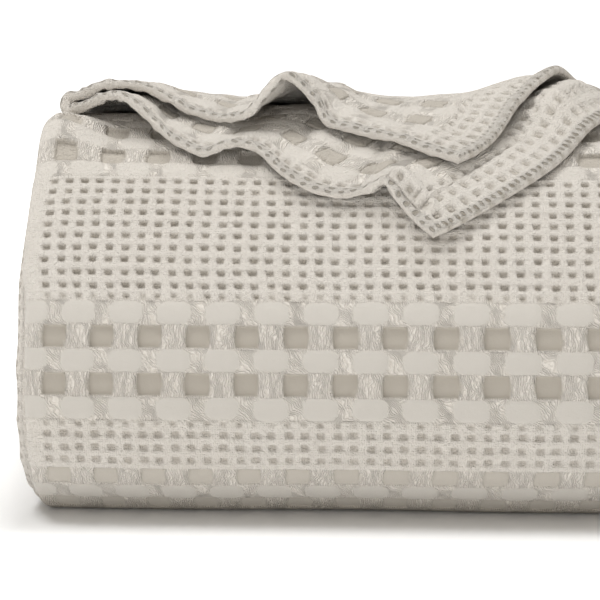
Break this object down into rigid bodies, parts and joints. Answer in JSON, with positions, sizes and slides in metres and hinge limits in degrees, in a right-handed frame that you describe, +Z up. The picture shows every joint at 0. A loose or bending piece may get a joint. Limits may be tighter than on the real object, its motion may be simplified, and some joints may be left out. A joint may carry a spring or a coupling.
{
  "type": "folded waffle weave cotton blanket",
  "caption": "Waffle weave cotton blanket folded into a deep stack with a rounded front, its free end thrown back over the top so that the hems and corners of both plies show.",
  "frame": {"origin": "middle of the footprint, on the surface that the blanket lies on", "axes": "+X to the right along the rounded front, +Y to the back where the folds turn, +Z up"},
  "size_m": [0.3816, 0.2842, 0.2211],
  "materials": {
    "cotton": "matt off-white waffle weave cotton, piece dyed and washed soft"
  },
  "bodies": {
    "root": {"blanket": "cotton"}
  },
  "joints": []
}
